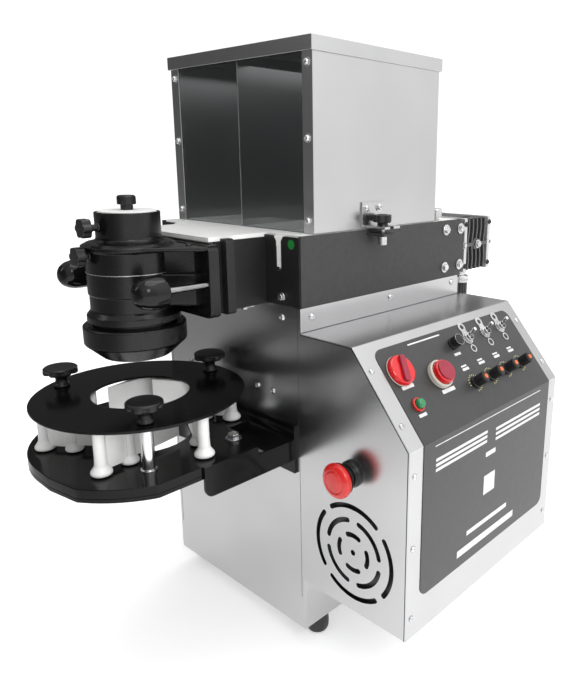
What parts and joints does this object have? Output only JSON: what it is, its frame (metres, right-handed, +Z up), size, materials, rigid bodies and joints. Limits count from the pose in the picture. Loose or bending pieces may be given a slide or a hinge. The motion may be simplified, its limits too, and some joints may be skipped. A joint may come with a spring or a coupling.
{
  "type": "tabletop snack forming machine",
  "caption": "Stainless table-top machine that forms filled snacks: divided hopper over a pump block, coaxial head, iris cutter and a side control box.",
  "frame": {"origin": "bottom centre of the bounding box, on the plane the feet stand on", "axes": "+Z up, -Y towards the forming head at the front, +X towards the control box side"},
  "size_m": [0.4492, 0.68, 0.745],
  "materials": {
    "stainless": "brushed stainless sheet",
    "polished": "polished steel",
    "black_paint": "satin black powder coat",
    "black_metal": "smooth black anodised",
    "black_plastic": "glossy black plastic",
    "nylon": "satin white food-grade plastic",
    "overlay": "fine textured dark grey film",
    "red_plastic": "smooth red",
    "grey_plastic": "light grey",
    "green_plastic": "translucent green",
    "clear": "clear sheet",
    "rubber": "black rubber",
    "cast_aluminium": "cast and painted",
    "circuit": "green board"
  },
  "bodies": {
    "frame": {"column_shell": "stainless", "column_back_cover": "stainless", "base_plate": "rubber", "housing_side_right": "black_paint", "housing_side_left": "black_paint", "front_casting": "black_paint", "rear_bearing_block": "black_paint", "pump_block_dough": "nylon", "pump_block_filling": "nylon", "pump_deck": "nylon", "gearmotor_right": "cast_aluminium", "gearmotor_left": "cast_aluminium", "hopper_shell": "stainless", "hopper_window": "clear", "hopper_latch": "stainless", "head_body": "black_metal", "filling_tube": "polished", "cutter_bracket": "black_metal", "cutter_base": "black_metal", "cutter_ring": "black_metal", "cutter_motor": "cast_aluminium", "control_box": "stainless", "control_board": "circuit", "control_panel": "stainless", "panel_overlay": "overlay", "push_bezel": "grey_plastic", "estop_collar": "black_plastic"},
    "hopper_lid": {"hopper_lid": "stainless"},
    "latch_knob": {"latch_knob": "black_plastic"},
    "dough_auger": {"dough_auger": "polished"},
    "filling_auger": {"filling_auger": "polished"},
    "cam_disc": {"cam_disc": "black_metal"},
    "iris_blade_1": {"iris_blade_1": "nylon"},
    "iris_blade_2": {"iris_blade_2": "nylon"},
    "iris_blade_3": {"iris_blade_3": "nylon"},
    "iris_blade_4": {"iris_blade_4": "nylon"},
    "iris_blade_5": {"iris_blade_5": "nylon"},
    "iris_blade_6": {"iris_blade_6": "nylon"},
    "cutter_pinion": {"cutter_pinion": "polished"},
    "ring_knob_1": {"ring_knob_1": "black_plastic"},
    "ring_knob_2": {"ring_knob_2": "black_plastic"},
    "ring_knob_3": {"ring_knob_3": "black_plastic"},
    "nozzle_nut": {"nozzle_nut": "black_metal"},
    "head_cap": {"head_cap": "nylon"},
    "thumb_screw_upper": {"thumb_screw_upper": "black_plastic"},
    "thumb_screw_lower": {"thumb_screw_lower": "black_plastic"},
    "clamp_lever_right": {"clamp_lever_right": "black_plastic"},
    "clamp_lever_left": {"clamp_lever_left": "black_plastic"},
    "estop_head": {"estop_head": "red_plastic"},
    "selector_knob": {"selector_knob": "red_plastic"},
    "push_cap": {"push_cap": "red_plastic"},
    "reset_cap": {"reset_cap": "green_plastic"},
    "fuse_cap": {"fuse_cap": "black_plastic"},
    "toggle_lever_1": {"toggle_lever_1": "polished"},
    "toggle_lever_2": {"toggle_lever_2": "polished"},
    "toggle_lever_3": {"toggle_lever_3": "polished"},
    "speed_knob_1": {"speed_knob_1": "black_plastic"},
    "speed_knob_2": {"speed_knob_2": "black_plastic"},
    "speed_knob_3": {"speed_knob_3": "black_plastic"},
    "speed_knob_4": {"speed_knob_4": "black_plastic"}
  },
  "joints": [
    {"name": "lid_lift", "type": "slide", "parent": "frame", "child": "hopper_lid", "axis": [0, 0, 1], "range_m": [0, 0.25]},
    {"name": "latch_knob_turn", "type": "hinge", "parent": "frame", "child": "latch_knob", "pos_m": [0.0746, 0.0355, 0.543], "axis": [0, 0, 1], "continuous": true},
    {"name": "dough_auger_turn", "type": "hinge", "parent": "frame", "child": "dough_auger", "pos_m": [-0.1264, -0.09, 0.49], "axis": [0, -1, 0], "continuous": true},
    {"name": "filling_auger_turn", "type": "hinge", "parent": "frame", "child": "filling_auger", "pos_m": [-0.0304, -0.09, 0.49], "axis": [0, -1, 0], "continuous": true},
    {"name": "cam_turn", "type": "hinge", "parent": "frame", "child": "cam_disc", "pos_m": [-0.0784, -0.216, 0.29], "axis": [0, 0, -1], "range_deg": [0, 12]},
    {"name": "iris_blade_1_turn", "type": "hinge", "parent": "frame", "child": "iris_blade_1", "pos_m": [0.02582, -0.2032, 0.298], "axis": [0, 0, 1], "range_deg": [0, 28.5]},
    {"name": "iris_blade_2_turn", "type": "hinge", "parent": "frame", "child": "iris_blade_2", "pos_m": [-0.03737, -0.11935, 0.298], "axis": [0, 0, 1], "range_deg": [0, 28.5]},
    {"name": "iris_blade_3_turn", "type": "hinge", "parent": "frame", "child": "iris_blade_3", "pos_m": [-0.14159, -0.13214, 0.298], "axis": [0, 0, 1], "range_deg": [0, 28.5]},
    {"name": "iris_blade_4_turn", "type": "hinge", "parent": "frame", "child": "iris_blade_4", "pos_m": [-0.18262, -0.2288, 0.298], "axis": [0, 0, 1], "range_deg": [0, 28.5]},
    {"name": "iris_blade_5_turn", "type": "hinge", "parent": "frame", "child": "iris_blade_5", "pos_m": [-0.11943, -0.31265, 0.298], "axis": [0, 0, 1], "range_deg": [0, 28.5]},
    {"name": "iris_blade_6_turn", "type": "hinge", "parent": "frame", "child": "iris_blade_6", "pos_m": [-0.01521, -0.29986, 0.298], "axis": [0, 0, 1], "range_deg": [0, 28.5]},
    {"name": "pinion_turn", "type": "hinge", "parent": "frame", "child": "cutter_pinion", "pos_m": [-0.0784, -0.028, 0.278], "axis": [0, 0, 1], "range_deg": [0, 54.75]},
    {"name": "ring_knob_1_turn", "type": "hinge", "parent": "frame", "child": "ring_knob_1", "pos_m": [0.0107, -0.2614, 0.358], "axis": [0, 0, 1], "continuous": true},
    {"name": "ring_knob_2_turn", "type": "hinge", "parent": "frame", "child": "ring_knob_2", "pos_m": [-0.08363, -0.11614, 0.358], "axis": [0, 0, 1], "continuous": true},
    {"name": "ring_knob_3_turn", "type": "hinge", "parent": "frame", "child": "ring_knob_3", "pos_m": [-0.16227, -0.27046, 0.358], "axis": [0, 0, 1], "continuous": true},
    {"name": "nozzle_nut_turn", "type": "hinge", "parent": "frame", "child": "nozzle_nut", "pos_m": [-0.0784, -0.216, 0.418], "axis": [0, 0, 1], "continuous": true},
    {"name": "head_cap_turn", "type": "hinge", "parent": "frame", "child": "head_cap", "pos_m": [-0.0784, -0.216, 0.553], "axis": [0, 0, 1], "continuous": true},
    {"name": "upper_screw_turn", "type": "hinge", "parent": "frame", "child": "thumb_screw_upper", "pos_m": [-0.0784, -0.216, 0.5435], "axis": [0, -1, 0], "continuous": true},
    {"name": "lower_screw_turn", "type": "hinge", "parent": "frame", "child": "thumb_screw_lower", "pos_m": [-0.0784, -0.216, 0.5145], "axis": [0, -1, 0], "continuous": true},
    {"name": "right_clamp_turn", "type": "hinge", "parent": "frame", "child": "clamp_lever_right", "pos_m": [0.0051, -0.216, 0.4825], "axis": [0, -1, 0], "continuous": true},
    {"name": "left_clamp_turn", "type": "hinge", "parent": "frame", "child": "clamp_lever_left", "pos_m": [-0.1619, -0.216, 0.4825], "axis": [0, -1, 0], "continuous": true},
    {"name": "estop_press", "type": "slide", "parent": "frame", "child": "estop_head", "axis": [0, 1, 0], "range_m": [0, 0.004]},
    {"name": "selector_turn", "type": "hinge", "parent": "frame", "child": "selector_knob", "pos_m": [0.17001, -0.045, 0.38981], "axis": [-0.765, 0, -0.644], "range_deg": [0, 90]},
    {"name": "push_press", "type": "slide", "parent": "frame", "child": "push_cap", "axis": [-0.765, 0, -0.644], "range_m": [0, 0.004], "stiffness_N_per_m": 400, "springref_m": -0.002},
    {"name": "reset_press", "type": "slide", "parent": "frame", "child": "reset_cap", "axis": [-0.765, 0, -0.644], "range_m": [0, 0.003], "stiffness_N_per_m": 200, "springref_m": -0.002},
    {"name": "fuse_cap_turn", "type": "hinge", "parent": "frame", "child": "fuse_cap", "pos_m": [0.16422, 0.065, 0.3967], "axis": [0.765, 0, 0.644], "range_deg": [0, 90]},
    {"name": "toggle_1_flip", "type": "hinge", "parent": "frame", "child": "toggle_lever_1", "pos_m": [0.16357, 0.099, 0.39746], "axis": [0, 1, 0], "range_deg": [0, 28]},
    {"name": "toggle_2_flip", "type": "hinge", "parent": "frame", "child": "toggle_lever_2", "pos_m": [0.16357, 0.1395, 0.39746], "axis": [0, 1, 0], "range_deg": [0, 28]},
    {"name": "toggle_3_flip", "type": "hinge", "parent": "frame", "child": "toggle_lever_3", "pos_m": [0.16357, 0.177, 0.39746], "axis": [0, 1, 0], "range_deg": [0, 28]},
    {"name": "speed_1_turn", "type": "hinge", "parent": "frame", "child": "speed_knob_1", "pos_m": [0.199, 0.065, 0.35539], "axis": [-0.765, 0, -0.644], "range_deg": [-140, 140]},
    {"name": "speed_2_turn", "type": "hinge", "parent": "frame", "child": "speed_knob_2", "pos_m": [0.199, 0.1005, 0.35539], "axis": [-0.765, 0, -0.644], "range_deg": [-140, 140]},
    {"name": "speed_3_turn", "type": "hinge", "parent": "frame", "child": "speed_knob_3", "pos_m": [0.199, 0.1365, 0.35539], "axis": [-0.765, 0, -0.644], "range_deg": [-140, 140]},
    {"name": "speed_4_turn", "type": "hinge", "parent": "frame", "child": "speed_knob_4", "pos_m": [0.199, 0.172, 0.35539], "axis": [-0.765, 0, -0.644], "range_deg": [-140, 140]}
  ],
  "couplings": [
    {"joint": "iris_blade_1_turn", "follows": "cam_turn", "ratio": 2.375},
    {"joint": "iris_blade_2_turn", "follows": "cam_turn", "ratio": 2.375},
    {"joint": "iris_blade_3_turn", "follows": "cam_turn", "ratio": 2.375},
    {"joint": "iris_blade_4_turn", "follows": "cam_turn", "ratio": 2.375},
    {"joint": "iris_blade_5_turn", "follows": "cam_turn", "ratio": 2.375},
    {"joint": "iris_blade_6_turn", "follows": "cam_turn", "ratio": 2.375},
    {"joint": "pinion_turn", "follows": "cam_turn", "ratio": 4.5625}
  ]
}
